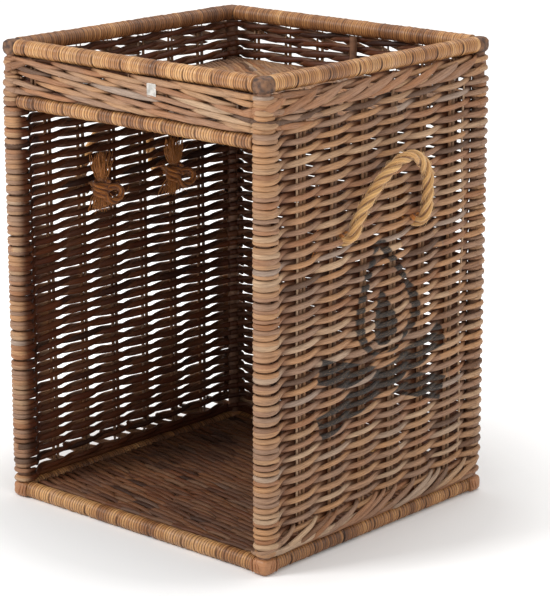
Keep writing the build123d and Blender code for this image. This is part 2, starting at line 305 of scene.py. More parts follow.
def strand_shader(name, colours, inner_shade_colour, roughness=0.5, paint=None):
    """Rattan skin: a tone for each strand, grey patches, streaks along it, light fine streaks that are partly
    painted highlight, and painted shade where it is hidden.
    """
    shader = Shader(name)
    grain, tone, recess_shade = shader.strand_values()
    place = shader.place()
    base = shader.ramp(tone, colours)
    streaks = shader.noise(shader.stretch(grain, (22, 5, 61)), 2.2, 4.0, 0.62)
    fine = shader.noise(shader.stretch(grain, (70, 16, 37)), 3.0, 3.0, 0.6)
    patches = shader.noise(place, 16, 2.0)
    base = shader.mix(shader.level(patches, 0.42, 0.66, 0.0, 0.35), base, srgb(140, 118, 102))
    base = shader.mix(shader.level(streaks, 0.40, 0.72, 0.0, 0.62), base, srgb(64, 40, 27))
    # light fine streaks along the grain: partly the rattan's pale fibres, partly painted highlight
    base = shader.mix(shader.level(fine, 0.55, 0.75, 0.0, 0.30), base, srgb(218, 184, 142))
    # painted shade, deepest on the weave's inner faces and between the rows
    base = shader.mix(recess_shade, base, inner_shade_colour, "MULTIPLY")
    if paint is not None:
        base = shader.mix(paint(shader, place, recess_shade, fine), base, PAINT_COLOUR)
    height = shader.plus(streaks, shader.times(fine, 0.6))
    return shader.finish(
        Base_Color=base,
        Roughness=shader.level(streaks, 0.3, 0.7, roughness - 0.1, roughness + 0.2),
        Specular_IOR_Level=0.35,
        Normal=shader.bump(height, 0.35, 0.0012),
    )


# The stencil on the right wall, in metres from its middle: a flame over two crossed logs
STENCIL_MIDDLE = (0.008, 0.300)
LOG_REACH = 0.140
LOG_RADIUS = 0.018
LOG_TILT = math.radians(17)
LOG_DROP = 0.078
FLAME_BASE = -0.040
FLAME_HEIGHT = 0.165
FLAME_WIDTH = 0.062
CORE_SHARE = 0.5  # of the flame's height, for the small flame inside it
CORE_DROP = 0.012  # that flame stands this far above the flame's foot
STENCIL_LINE = 0.0080
STENCIL_GAP = 0.007  # left bare where one log passes over the other
EDGE = 0.001  # over which a painted edge fades


def flame_distance(shader, across, up, height, width):
    """Distance outside a leaning drop shape: its half width follows a sine that is fullest low down."""
    share = shader.math("DIVIDE", up, height, clamp=True)
    lean = shader.times(shader.math("SINE", shader.times(share, 5.2)), 0.14 * width)
    power = shader.math("POWER", share, 0.62)
    full = shader.times(shader.math("SINE", shader.times(power, math.pi)), width)
    return shader.minus(shader.math("ABSOLUTE", shader.minus(across, lean)), full)


def line_of(shader, distance):
    """1 on a line round the shape whose distance is given, with soft worn edges."""
    fade = 1.5 * EDGE
    return shader.level(shader.math("ABSOLUTE", distance), STENCIL_LINE + fade, STENCIL_LINE - fade)


def inside_of(shader, distance, start=EDGE):
    """1 inside the shape whose distance is given."""
    return shader.level(distance, start, -EDGE)


def log_distance(shader, across, up, tilt):
    """Distance outside a bar that is tilted about the stencil's middle."""
    cosine = math.cos(tilt)
    sine = math.sin(tilt)
    turned = shader.plus(shader.times(across, cosine), shader.times(up, sine))
    above = shader.minus(shader.times(up, cosine), shader.times(across, sine))
    past_end = shader.minus(shader.math("ABSOLUTE", turned), LOG_REACH)
    past_side = shader.minus(shader.math("ABSOLUTE", above), LOG_RADIUS)
    return shader.math("MAXIMUM", past_end, past_side)


def stencil_paint(shader, place, recess_shade, wear):
    """Where the worn stencil's paint lies, on the strands that face outward."""
    axes = shader.node("ShaderNodeSeparateXYZ", {0: place}).outputs
    across = shader.minus(axes["Y"], STENCIL_MIDDLE[0])
    up = shader.minus(axes["Z"], STENCIL_MIDDLE[1])
    flame_up = shader.minus(up, FLAME_BASE)
    above_base = shader.level(flame_up, 0.0, 2 * EDGE)
    below_tip = shader.level(flame_up, FLAME_HEIGHT, FLAME_HEIGHT - 2 * EDGE)
    outer = flame_distance(shader, across, flame_up, FLAME_HEIGHT, FLAME_WIDTH)
    flame = shader.times(line_of(shader, outer), shader.times(above_base, below_tip))

    core_height = CORE_SHARE * FLAME_HEIGHT
    core_up = shader.minus(flame_up, CORE_DROP)
    core = flame_distance(shader, across, core_up, core_height, 0.36 * FLAME_WIDTH)
    core_body = shader.times(inside_of(shader, core, 2 * EDGE), shader.level(core_up, 0.0, 2 * EDGE))
    core_body = shader.times(core_body, shader.level(core_up, core_height, 0.98 * core_height))

    log_up = shader.plus(up, LOG_DROP)
    near_log = log_distance(shader, across, log_up, LOG_TILT)
    far_log = log_distance(shader, across, log_up, -LOG_TILT)
    clear_of_near = shader.level(near_log, STENCIL_GAP, STENCIL_GAP + EDGE)
    far_body = shader.times(inside_of(shader, far_log), clear_of_near)

    paint = inside_of(shader, near_log)
    for mark in (flame, core_body, far_body):
        paint = shader.math("MAXIMUM", paint, mark)
    faces_out = shader.level(recess_shade, 0.75, 0.35)
    rubbed = shader.level(wear, 0.72, 0.52, 0.3, 1.0)
    return shader.math("MULTIPLY", paint, shader.times(faces_out, rubbed), clamp=True)


def cane_shader(name, colours, groove_shade_colour):
    """Split cane wound round a pole: glossy, a tone for each turn, with painted shade between the turns."""
    shader = Shader(name)
    grain, tone, recess_shade = shader.strand_values()
    base = shader.ramp(tone, colours)
    stains = shader.noise(shader.place(), 22, 3.0)
    fibres = shader.noise(shader.stretch(grain, (400, 3, 31)), 2.0, 3.0, 0.6)
    base = shader.mix(shader.level(stains, 0.45, 0.7, 0.0, 0.45), base, srgb(132, 92, 60))
    base = shader.mix(shader.level(fibres, 0.45, 0.75, 0.0, 0.45), base, srgb(110, 74, 44))
    # painted shade in the grooves and slots
    base = shader.mix(recess_shade, base, groove_shade_colour, "MULTIPLY")
    return shader.finish(
        Base_Color=base,
        Roughness=shader.level(fibres, 0.3, 0.7, 0.32, 0.55),
        Specular_IOR_Level=0.45,
        Normal=shader.bump(fibres, 0.25, 0.0006),
    )


def pole_shader(name, colours, grain_scale=90, patch_share=0.16, relief=0.001):
    """Bare rattan: patches of colour with dark pores."""
    shader = Shader(name)
    place = shader.place()
    grain = shader.noise(place, grain_scale, 4.0, 0.65)
    patches = shader.noise(place, grain_scale * patch_share, 2.0)
    base = shader.ramp(patches, colours)
    base = shader.mix(shader.level(grain, 0.4, 0.7, 0.0, 0.7), base, srgb(58, 38, 26))
    roughness = shader.level(grain, 0.3, 0.7, 0.45, 0.75)
    return shader.finish(Base_Color=base, Roughness=roughness, Normal=shader.bump(grain, 0.6, relief))


def rope_shader(name, colours):
    """Jute: fibres that run askew along each of the rope's strands, with painted shade in the grooves and
    towards the rope's core.
    """
    shader = Shader(name)
    grain, tone, recess_shade = shader.strand_values()
    axes = shader.node("ShaderNodeSeparateXYZ", {0: grain}).outputs
    askew = shader.plus(axes["Y"], shader.times(axes["X"], 38.0))
    lay = shader.node("ShaderNodeCombineXYZ", {"X": axes["X"], "Y": askew, "Z": axes["Z"]}).outputs[0]
    fibres = shader.noise(shader.stretch(lay, (14, 9, 19)), 2.4, 4.0, 0.7)
    base = shader.ramp(shader.plus(shader.times(fibres, 0.7), shader.times(tone, 0.45)), colours)
    # painted shade in the rope's grooves and towards its core
    base = shader.mix(recess_shade, base, srgb(104, 58, 26), "MULTIPLY")
    relief = shader.bump(fibres, 0.7, 0.0016)
    return shader.finish(Base_Color=base, Roughness=0.85, Sheen_Weight=0.25, Normal=relief)


def metal_shader(name, colour, roughness):
    """Brushed metal with dull patches."""
    shader = Shader(name)
    place = shader.place()
    brushed = shader.noise(shader.stretch(place, (900, 60, 60)), 2.0, 2.0)
    dull = shader.noise(place, 160, 3.0)
    base = shader.mix(shader.level(dull, 0.4, 0.7, 0, 0.5), colour, srgb(120, 112, 104))
    roughness = shader.level(brushed, 0.3, 0.7, roughness, roughness + 0.2)
    relief = shader.bump(dull, 0.15, 0.0005)
    return shader.finish(Base_Color=base, Metallic=1.0, Roughness=roughness, Normal=relief)


# ---------------------------------------------------------------- strands


def unit(vectors):
    return vectors / np.maximum(np.linalg.norm(vectors, axis=-1, keepdims=True), 1e-12)


def circle(count):
    """Angles of this many even steps round a circle."""
    return np.arange(count) * 2 * math.pi / count


def travelled(points):
    """How far each point is from the first, along the line through them."""
    chord = np.linalg.norm(np.diff(np.asarray(points), axis=0), axis=1)
    return np.concatenate([[0], np.cumsum(chord)])


def smooth_path(points, step=STRAND_STEP):
    """A curve through the points (Catmull-Rom by chord length), sampled about every step."""
    points = np.asarray(points, float)
    reached = travelled(points)
    slope = np.gradient(points, reached, axis=0)
    where = np.linspace(0, reached[-1], max(3, int(reached[-1] / step) + 1))
    before = np.clip(np.searchsorted(reached, where, side="right") - 1, 0, len(points) - 2)
    run = np.diff(reached)[before][:, None]
    t = (where - reached[before])[:, None] / run
    start, end = points[before], points[before + 1]
    return (
        (2 * t**3 - 3 * t**2 + 1) * start
        + (t**3 - 2 * t**2 + t) * slope[before] * run
        + (3 * t**2 - 2 * t**3) * end
        + (t**3 - t**2) * slope[before + 1] * run
    )


def rings_round(path, first, second, angles, first_reach, second_reach):
    """A ring of points round each point of a path, reaching the given distances along two axes across it."""
    return (
        path[:, None, :]
        + first[:, None, :] * np.cos(angles)[None, :, None] * first_reach
        + second[:, None, :] * np.sin(angles)[None, :, None] * second_reach
    )


ROUNDED_ENDS = (True, True)  # the first and the last end of a strand
OPEN_ENDS = (False, False)


def sweep(path, width, thickness, up=UP, sides=8, rounded=ROUNDED_ENDS):
    """Rings of an oval section along a path: width lies along up, thickness across it."""
    ahead = unit(np.gradient(path, axis=0))
    across = unit(np.cross(ahead, np.broadcast_to(up, path.shape)))
    raised = np.cross(across, ahead)
    size = np.ones(len(path))
    if rounded[0]:
        size[:2] = (0.3, 0.85)
    if rounded[1]:
        size[-2:] = (0.85, 0.3)
    half_width = (np.broadcast_to(width, len(path)) / 2 * size)[:, None, None]
    half_thickness = (np.broadcast_to(thickness, len(path)) / 2 * size)[:, None, None]
    return rings_round(path, raised, across, circle(sides), half_width, half_thickness)


def wall_recess_shade(points):
    """Painted shade: 0 on what faces out of the basket, 1 on what lies or faces inside its walls."""
    x, y = points[:, 0], points[:, 1]
    depth = np.maximum(np.maximum(np.abs(x) - SIDE_X, y - BACK_Y), -y - FRONT_Y)
    return np.clip(0.6 - depth / (9 * MM), 0, 1)


def no_recess_shade(points):
    return np.zeros(len(points))


class Bundle:
    """Strands that become one mesh. Each point keeps its place along and round its strand, and its tone."""

    def __init__(self):
        self.points = []
        self.faces = []
        self.grain = []
        self.tone = []
        self.recess_shade = []
        self.count = 0
        self.strands = 0

    def add(self, rings, along, tone, recess_shade=None):
        """A closed tube through the rings. Where no painted shade is given, the points' places set it."""
        steps, sides = rings.shape[:2]
        index = self.count + np.arange(steps * sides).reshape(steps, sides)
        turned = np.roll(index, -1, axis=1)
        walls = np.stack([index[:-1], turned[:-1], turned[1:], index[1:]], axis=-1).reshape(-1, 4)
        half = np.arange(sides // 2 - 1)
        cap = np.stack([(sides - half) % sides, half + 1, half + 2, sides - 1 - half], axis=-1)
        self.faces += [walls, index[0][cap][:, ::-1], index[-1][cap]]
        self.points.append(rings.reshape(-1, 3))
        self.strands += 1
        grain = np.empty((steps, sides, 3))
        grain[..., 0] = np.asarray(along)[:, None]
        grain[..., 1] = np.abs(np.arange(sides) / sides - 0.5)[None, :] * 2
        grain[..., 2] = self.strands * 0.37
        self.grain.append(grain.reshape(-1, 3))
        self.tone.append(np.repeat(np.broadcast_to(tone, steps), sides))
        self.recess_shade.append(np.broadcast_to(np.nan if recess_shade is None else recess_shade, (steps, sides)).ravel())
        self.count += steps * sides

    def strand(self, points, width, thickness, tone, up=UP, step=STRAND_STEP, sides=8, recess_shade=None):
        """A whole strand through the points, with rounded ends."""
        path = smooth_path(points, step)
        if np.ndim(width):
            width = np.interp(np.linspace(0, 1, len(path)), np.linspace(0, 1, len(width)), width)
        self.add(sweep(path, width, thickness, up, sides), travelled(path), tone, recess_shade)

    def piece(self, name, material, slot, body, replaced, recess_shade=wall_recess_shade):
        """The finished mesh object, standing for the CAD nodes given."""
        points = np.concatenate(self.points)
        mesh = bpy.data.meshes.new(name)
        mesh.from_pydata(points, [], np.concatenate(self.faces))
        mesh.shade_smooth()
        mesh.materials.append(material)
        # painted shade for each point: the strand's own value where one was given, else one set by the
        # point's place
        set_by_strand = np.concatenate(self.recess_shade)
        depth = np.where(np.isnan(set_by_strand), recess_shade(points), set_by_strand)
        for layer, kind, field, values in (
            ("grain", "FLOAT_VECTOR", "vector", np.concatenate(self.grain).ravel()),
            ("tone", "FLOAT", "value", np.concatenate(self.tone)),
            ("recess_shade", "FLOAT", "value", depth),
        ):
            mesh.attributes.new(layer, kind, "POINT").data.foreach_set(field, values)
        mesh.validate()
        piece = bpy.data.objects.new(name, mesh)
        bpy.context.scene.collection.objects.link(piece)
        if body is not None:
            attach(piece, body)
        if replaced:
            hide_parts(*replaced)
        return piece


WALL_BUNDLES = {}  # one bundle for each part of the woven walls, by the name of its CAD node


def wall_part(point, band):
    """The CAD node that a place on the walls belongs to; band is weave, top_border or base_border."""
    x, y = point[0], point[1]
    across = "left" if x < 0 else "right"
    if abs(x) > WRAP_X and abs(y) > WRAP_Y:
        return f"{'back' if y > 0 else 'front'}_{across}_post_wrap"
    if abs(x) > WRAP_X:
        return f"{across}_wall_{band}"
    return f"back_wall_{band}" if y > 0 else "front_band_weave"


def lay_on_walls(points, width, thickness, tone, band, rounded=ROUNDED_ENDS, step=STRAND_STEP):
    """A strand on the walls, cut where one CAD node's part of the walls ends and the next begins.

    The width and the tone are one value each, or lists: widths at the points or spread evenly, and tones
    of even lengths of the strand.
    """
    path = smooth_path(points, step)
    along = travelled(path)
    share = np.linspace(0, 1, len(path))
    if np.ndim(width):
        reached = travelled(points)
        places = reached / reached[-1] if len(width) == len(points) else np.linspace(0, 1, len(width))
        width = np.interp(share, places, width)
    if np.ndim(tone):
        tone = np.asarray(tone)[np.minimum((share * len(tone)).astype(int), len(tone) - 1)]
    tone = np.broadcast_to(tone, len(path))
    rings = sweep(path, width, thickness, rounded=rounded)
    parts = [wall_part(point, band) for point in path]
    start = 0
    for i in range(1, len(path) + 1):
        if i < len(path) and parts[i] == parts[start]:
            continue
        end = min(i + 1, len(path))
        if end - start > 1:
            bundle = WALL_BUNDLES.setdefault(parts[start], Bundle())
            bundle.add(rings[start:end], along[start:end], tone[start:end])
        start = i


def pick_tone(usual=0.52, spread=0.24):
    """A tone for a strand. Most weavers are mid tan, and some are nearly brown or grey."""
    return float(np.clip(rng.normal(usual, spread), 0.0, 1.0))


# ---------------------------------------------------------------- woven rows


def pair_places(node, axis, pairs):
    """Middles of the stake pairs of one wall."""
    low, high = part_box(node)
    reach = (high[axis] - low[axis] - STAKE_GAP - STAKE_DIAMETER) / 2
    return np.linspace(-reach, reach, pairs)


SIDE_PLACES = pair_places("right_wall_stakes", 1, SIDE_PAIRS)
BACK_PLACES = pair_places("back_wall_stakes", 0, BACK_PAIRS)


def wall_stations():
    """What a weaver passes from the front right post round the back: (kind, middle, along, outward)."""
    stations = [("post", (POST_X, -POST_Y), (0, 1), (1, 0))]
    stations += [("pair", (SIDE_X, y), (0, 1), (1, 0)) for y in SIDE_PLACES]
    stations += [("corner", (POST_X, POST_Y), (-1, 1), (1, 1))]
    stations += [("pair", (x, BACK_Y), (-1, 0), (0, 1)) for x in BACK_PLACES[::-1]]
    stations += [("corner", (-POST_X, POST_Y), (-1, -1), (-1, 1))]
    stations += [("pair", (-SIDE_X, y), (0, -1), (-1, 0)) for y in SIDE_PLACES[::-1]]
    stations += [("post", (-POST_X, -POST_Y), (0, -1), (-1, 0))]
    return [
        (kind, np.array(centre), unit(np.array(along, float)), unit(np.array(out, float)))
        for kind, centre, along, out in stations
    ]


STATIONS = wall_stations()
PASS_DEPTH = 6.2 * MM  # from the middle of a wall to the middle of a weaver that passes a stake pair
POST_REACH = 12.6 * MM  # from a post's middle to the middle of a weaver that turns round it
RISE = 2.7 * MM  # how far a weaver is above or below its row where it goes through the wall
FLAT = 8 * MM  # half the length that it lies flat on a pair
CROSSING_SHARE = 0.90  # of its width that shows where it goes through the wall
INSIDE_SHARE = 1.16  # and on the inside, where it is pressed flatter


def turn(direction, degrees):
    angle = math.radians(degrees)
    x, y = direction
    return np.array([x * math.cos(angle) - y * math.sin(angle), x * math.sin(angle) + y * math.cos(angle)])


def drift(place, level):
    """Rows aren't quite level: how far one is up or down at a place on the walls."""
    bearing = math.atan2(place[1], place[0])
    fade = max(0.0, min(1.0, (level - ROW_LOW) / 0.05, (ROW_HIGH - level) / 0.05))
    slow = 1.6 * MM * fade * math.sin(3 * bearing + 14 * level)
    quick = 0.9 * MM * fade * math.sin(7 * bearing - 23 * level)
    return slow + quick


def post_turn(centre, side, level, tuck, reach=POST_REACH):
    """Half a turn round a front post, from inside the wall round the front to the outside."""
    inward = np.array([-side, 0.0])
    front = np.array([0.0, -1.0])
    back = np.array([0.0, tuck])
    places = [centre + inward * reach + back, centre + inward * reach]
    places += [centre + unit(inward + front) * reach, centre + front * reach]
    places += [centre + unit(front - inward) * reach, centre - inward * reach]
    tilt = rng.normal(0, 1.1) * MM
    return [(*place, level + tilt * (step / 5 - 0.5)) for step, place in enumerate(places)]


def row_points(level, strand, outer_depth=PASS_DEPTH, reach=POST_REACH):
    """Points of one of a row's two weavers, and how wide it shows at each: least where it goes through.

    It passes outside every other pair, and inside those between.
    """
    points = []
    shares = []
    last = len(STATIONS) - 1
    for index, (kind, centre, along, out) in enumerate(STATIONS):
        outside = (index + strand) % 2 == 0
        sign = 1 if outside else -1
        z = level + drift(centre, level) + rng.normal(0, 0.55) * MM
        before = len(points)
        if kind == "post":
            turned = post_turn(centre, out[0], z - 2.5 * MM, 14 * MM, reach)
            turned = turned if outside else turned[:1]
            points += turned if index == 0 else turned[::-1]
        elif kind == "corner" and outside:
            for degrees in (-45, 0, 45):
                points.append((*(centre + turn(out, degrees) * reach), z))
        elif kind == "corner":
            points.append((*(centre - out * reach), z + 0.3 * RISE))
        else:
            depth = (outer_depth if outside else -PASS_DEPTH) + rng.normal(0, 0.35) * MM
            for offset, lift in ((-FLAT, -0.35 * sign), (FLAT, 0.1 * sign)):
                points.append((*(centre + along * offset + out * depth), z + lift * RISE))
        share = INSIDE_SHARE if kind == "pair" and not outside else 1.0
        shares += [share] * (len(points) - before)
        if index < last:
            next_kind, after = STATIONS[index + 1][:2]
            gap = (centre + after) / 2
            if "corner" in (kind, next_kind):
                on_back = abs(gap[0]) < WRAP_X
                gap = np.array([gap[0], BACK_Y] if on_back else [math.copysign(SIDE_X, gap[0]), gap[1]])
            points.append((*gap, level + drift(gap, level) + sign * RISE))
            shares.append(CROSSING_SHARE)
    return points, np.array(shares)


def spliced(low, high, count, pick):
    """Values for the lengths of weaver in one strand: each runs on for a while and is then spliced."""
    values = []
    while len(values) < count:
        values += [pick()] * int(rng.integers(low, high))
    return values[:count]


def spliced_tones():
    return spliced(14, 34, 92, pick_tone)


def weave_rows():
    """Every row of the three walls, two weavers to a row, and the extra turns round the front posts."""
    for row in range(ROWS):
        level = ROW_LOW + (row + 0.5) * ROW_PITCH
        for strand in (0, 1):
            points, shares = row_points(level, strand)
            heights = spliced(8, 18, len(points), lambda: rng.normal(STRAND_HEIGHT, 0.7 * MM))
            width = np.array(heights) * shares
            lay_on_walls(points, width, STRAND_THICKNESS, spliced_tones(), "weave", OPEN_ENDS)
        for side in (-1, 1):
            if level + ROW_PITCH / 2 < BAND_LOW:
                extra_turn(side, level + 0.33 * ROW_PITCH)
    for low, high, band in ((WALL_LOW, ROW_LOW, "base_border"), (ROW_HIGH, WALL_HIGH, "top_border")):
        for share in (0.27, 0.77):
            level = low + share * (high - low)
            for strand in (0, 1):
                points, _ = row_points(level, strand, 2.6 * MM, POST_REACH - 1.6 * MM)
                lay_on_walls(points, 7.8 * MM, STRAND_THICKNESS, spliced_tones(), band, OPEN_ENDS)


def extra_turn(side, level):
    """A weaver's second turn round a front post. Both its ends go in beside the post."""
    centre = np.array([side * POST_X, -POST_Y])
    z = level + rng.normal(0, 0.6) * MM
    outside = np.array([side * POST_REACH, 0.0])
    reach = (12 + rng.normal(0, 1.2)) * MM
    beside = centre + outside + (0, reach)
    tucked = centre + outside * 0.62 + (0, reach + 6 * MM)
    points = post_turn(centre, side, z, 12 * MM) + [(*beside, z), (*tucked, z + 1 * MM)]
    width = rng.normal(7.4, 0.7) * MM
    lay_on_walls(points, width, STRAND_THICKNESS, pick_tone(), "weave")


# ---------------------------------------------------------------- borders and the front band

CORNER_RADIUS = SIDE_X - POST_X  # of the walls' middle line, round each post
SIDE_RUN = 2 * POST_Y
BACK_RUN = 2 * POST_X
ARC = CORNER_RADIUS * math.pi / 2
BACK_START = SIDE_RUN + ARC  # distances round the middle line from the front right post's near side
LEFT_START = BACK_START + BACK_RUN + ARC
FRONT_START = LEFT_START + SIDE_RUN + ARC
ROUND = FRONT_START + BACK_RUN + ARC
WALL_RUNS = [  # start, length, the post it leaves, the way along it and the way out
    (0.0, SIDE_RUN, (POST_X, -POST_Y), (0, 1), (1, 0)),
    (BACK_START, BACK_RUN, (POST_X, POST_Y), (-1, 0), (0, 1)),
    (LEFT_START, SIDE_RUN, (-POST_X, POST_Y), (0, -1), (-1, 0)),
    (FRONT_START, BACK_RUN, (-POST_X, -POST_Y), (1, 0), (0, -1)),
]


def around(distance, depth):
    """The place at a distance round the walls' middle line, and at a depth out from it."""
    distance = distance % ROUND
    for start, length, post, along, out in WALL_RUNS:
        post, along, out = np.array(post), np.array(along), np.array(out)
        if distance <= start + length:
            return post + along * (distance - start) + out * (CORNER_RADIUS + depth)
        if distance < start + length + ARC:
            bend = turn(out, (distance - start - length) / ARC * 90)
            return post + along * length + bend * (CORNER_RADIUS + depth)
    raise ValueError(distance)


def stroke(start, length, low, high, profile, width, thickness, tone, band):
    """One visible strand that comes out of the wall, runs along it and goes back in.

    Widths and the thickness are in millimetres. The profile says, at shares of the length, how many
    millimetres the strand lies out from the wall's middle line, and how much of its climb it has made.
    """
    points = []
    for share, depth, climb in profile:
        place = around(start + share * length, depth * MM)
        points.append((*place, low + (high - low) * climb))
    lay_on_walls(points, np.array(width) * MM, thickness * MM, tone, band, step=5 * MM)


CORNER_PROFILE = [
    (0.00, -5.0, 0.0), (0.16, 0.5, 0.0), (0.32, 4.2, 0.5), (0.50, 4.6, 0.5),
    (0.68, 4.2, 0.5), (0.84, 0.5, 1.0), (1.00, -5.0, 1.0),
]
LOOP_PROFILE = [
    (0.00, -5.0, 0.0), (0.03, 2.6, 0.0), (0.065, 5.8, 0.0), (0.12, 6.8, 0.0),
    (0.30, 7.0, 0.15), (0.60, 6.2, 0.45), (0.86, 2.5, 0.85), (1.00, -4.0, 1.0),
]
LEAF_PROFILE = [
    (0.00, -4, 0.00), (0.08, 1, 0.02), (0.28, 6.2, 0.16), (0.55, 7.4, 0.46),
    (0.82, 6.0, 0.82), (0.94, 0.5, 0.97), (1.00, -4, 1.00),
]
BAND_PROFILE = [
    (0.00, -6, 0.0), (0.10, -1, 0.06), (0.24, 3.8, 0.16), (0.50, 4.8, 0.46),
    (0.76, 4.0, 0.80), (0.90, -1, 0.96), (1.00, -6, 1.0),
]
FRONT_CORNER_ROWS = 6
TOP_LEAVES = 38
BAND_ROWS = 5
BAND_SPACING = 74 * MM  # between the starts of a band row's strands


def corner_fill():
    """Short strands round the corners between two rows, with both ends tucked into the walls."""
    back_levels = ROW_LOW + np.arange(ROWS) * ROW_PITCH
    front_levels = np.linspace(BAND_LOW + 6 * MM, WALL_HIGH - 5 * MM, FRONT_CORNER_ROWS)
    for next_start, levels in (
        (BACK_START, back_levels),
        (LEFT_START, back_levels),
        (FRONT_START, front_levels),
        (ROUND, front_levels),
    ):
        for level in levels:
            level = level + rng.normal(0, 0.4) * MM
            length = rng.normal(52, 3) * MM
            start = next_start - ARC / 2 - length / 2
            width = [5, 7.4, 7.6, 7.6, 7.4, 5]
            stroke(start, length, level, level, CORNER_PROFILE, width, 5.4, pick_tone(), "weave")


def foot_loop():
    """The light flat weaver that loops round the front right foot and runs on as the wall's lowest strand."""
    start = ROUND - 21 * MM
    width = [8, 10, 10, 9.5, 8.5, 6]
    stroke(start, 250 * MM, 30 * MM, 38 * MM, LOOP_PROFILE, width, 4.6, 0.92, "base_border")


def top_border():
    """Stakes bent down under the top rim, each a flattened leaf that rises to the right, from outside."""
    pitch = ROUND / TOP_LEAVES
    for i in range(TOP_LEAVES):
        start = (i + rng.normal(0, 0.06)) * pitch
        if FRONT_START - 50 * MM < start < ROUND - 60 * MM:
            continue
        length = rng.normal(104, 6) * MM
        peak = rng.normal(12.6, 0.8)
        width = [5, 8, peak, peak, 9, 5]
        low = ROW_HIGH + rng.normal(1.5, 0.8) * MM
        high = WALL_HIGH + rng.normal(-3.5, 0.8) * MM
        stroke(start, length, low, high, LEAF_PROFILE, width, 5.2, pick_tone(0.42, 0.16), "top_border")


def base_border():
    """The stakes' lower ends woven off over the base rim, round the three walls, looser than the top."""
    spacing = (STATIONS[2][1][1] - STATIONS[1][1][1]) / 2
    count = int(FRONT_START / spacing)
    for i in range(-1, count):
        start = (i + rng.normal(0, 0.12)) * spacing
        length = rng.normal(98, 9) * MM
        if start + length > FRONT_START - 6 * MM:
            continue
        peak = rng.normal(8.6, 0.6)
        width = [5, 7, peak, peak, 7, 5]
        low = WALL_LOW + rng.normal(2.5, 1.2) * MM
        high = ROW_LOW + rng.normal(-1.5, 1.2) * MM
        stroke(start, length, low, high, LEAF_PROFILE, width, 6, pick_tone(), "base_border")


def lowest_rows():
    """Strands over the base rim that close the slit under the three walls, and extra turns at the feet."""
    for depth, height in ((-4.5 * MM, 2.5 * MM), (1.0 * MM, 2.0 * MM)):
        distances = np.linspace(6 * MM, FRONT_START - ARC - 6 * MM, 46)
        points = [(*around(d, depth), WALL_LOW + height + rng.normal(0, 0.4) * MM) for d in distances]
        lay_on_walls(points, 7.4 * MM, STRAND_THICKNESS, spliced_tones(), "base_border")
    for side, height in ((-1, 3.6 * MM), (-1, 18 * MM), (-1, 32 * MM), (1, 18 * MM), (1, 32 * MM)):
        extra_turn(side, WALL_LOW + height)


def front_band():
    """Long loose strands over the front opening, sloping down to the right and on round both front posts."""
    top = WALL_HIGH - 3 * MM
    bottom = BAND_LOW + 5 * MM
    for row in range(BAND_ROWS):
        level = bottom + (top - bottom) * row / (BAND_ROWS - 1)
        start = FRONT_START - 62 * MM + (row * 0.43 % 1) * BAND_SPACING
        while start < ROUND + 8 * MM:
            length = rng.normal(134, 16) * MM
            drop = rng.normal(9, 2) * MM
            peak = rng.normal(8.2, 0.7)
            width = [5.5, 7, peak, peak, 7, 5.5]
            high = min(level + drop / 2, top + 1 * MM)
            low = max(level - drop / 2, bottom - 2 * MM)
            stroke(start, length, high, low, BAND_PROFILE, width, 5.4, pick_tone(), "top_border")
            start += BAND_SPACING + rng.normal(0, 5) * MM
        back_row(level)


def back_row(level):
    """The same strands where they run behind the stakes of the front band."""
    points = []
    for x in np.linspace(-WRAP_X, WRAP_X, 9):
        y = -FRONT_Y + 4.5 * MM + rng.normal(0, 0.8) * MM
        points.append((x, y, level + rng.normal(0, 1.2) * MM))
    lay_on_walls(points, 7.6 * MM, 5.4 * MM, pick_tone(), "weave")


LOOSE_STRANDS = [(-0.172, 0.8 * MM), (0.185, 3.2 * MM)]  # where on the right wall, and how much each sways


def upright_strands(name, places, low, node, material, loose=()):
    """Stakes of a wall, each slightly bowed, and any loose strand that hangs before them."""
    bundle = Bundle()
    for x, y in places:
        lean = rng.normal(0, 0.5, 4) * MM
        bow = rng.normal(0, 0.5, 4) * MM
        points = [(x + a, y + b, z) for a, b, z in zip(lean, bow, np.linspace(low, WALL_HIGH, 4))]
        tone = pick_tone(0.75, 0.12)
        # painted shade on the stakes, where the weavers cover them
        bundle.strand(points, STAKE_DIAMETER, STAKE_DIAMETER, tone, ACROSS_X, 24 * MM, recess_shade=0.45)
    for y, sway in loose:
        zs = np.linspace(ROW_LOW + 8 * MM, ROW_HIGH - 6 * MM, 15)
        points = [(SIDE_X + 2.4 * MM, y + sway * math.sin(0.9 * i), z) for i, z in enumerate(zs)]
        # a little painted shade on the loose strand
        bundle.strand(points, 3.2 * MM, 3.2 * MM, 0.9, ACROSS_X, 10 * MM, recess_shade=0.1)
    bundle.piece(name, material, "stake", "basket", [node])


def doubled(places):
    return [place + side * STAKE_GAP / 2 for place in places for side in (-1, 1)]


def stakes(material):
    for name, side in (("left", -1), ("right", 1)):
        places = [(side * SIDE_X, y) for y in doubled(SIDE_PLACES)]
        loose = LOOSE_STRANDS if side > 0 else ()
        upright_strands(f"{name}_stake_strands", places, WALL_LOW, f"{name}_wall_stakes", material, loose)
    back = [(x, BACK_Y) for x in doubled(BACK_PLACES)]
    upright_strands("back_stake_strands", back, WALL_LOW, "back_wall_stakes", material)
    front = [(x, -FRONT_Y) for x in doubled(BACK_PLACES)]
    upright_strands("band_stake_strands", front, BAND_LOW, "front_band_stakes", material)


# ---------------------------------------------------------------- cane bindings

# A turn of cane in section: shares of its width, and how far each lies above the bottom of the groove
RING_SECTION = [(0.0, -1.0), (0.10, -0.42), (0.30, -0.06), (0.50, 0.0), (0.70, -0.06), (0.90, -0.42)]
AROUND_STEPS = 32
NARROWEST_TURN = 2.4 * MM
SLOT_DEPTH = 3.0 * MM


def pole_of(node):
    """Where a bound pole starts and ends along its axis, the axis, its radius and its middle."""
    low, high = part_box(node)
    size = high - low
    axis = 0 if size.x > size.y else 1
    radius = (size.y if axis == 0 else size.x) / 2
    centre = (low + high) / 2
    centre.z = high.z - radius
    return low[axis], high[axis], axis, radius, centre


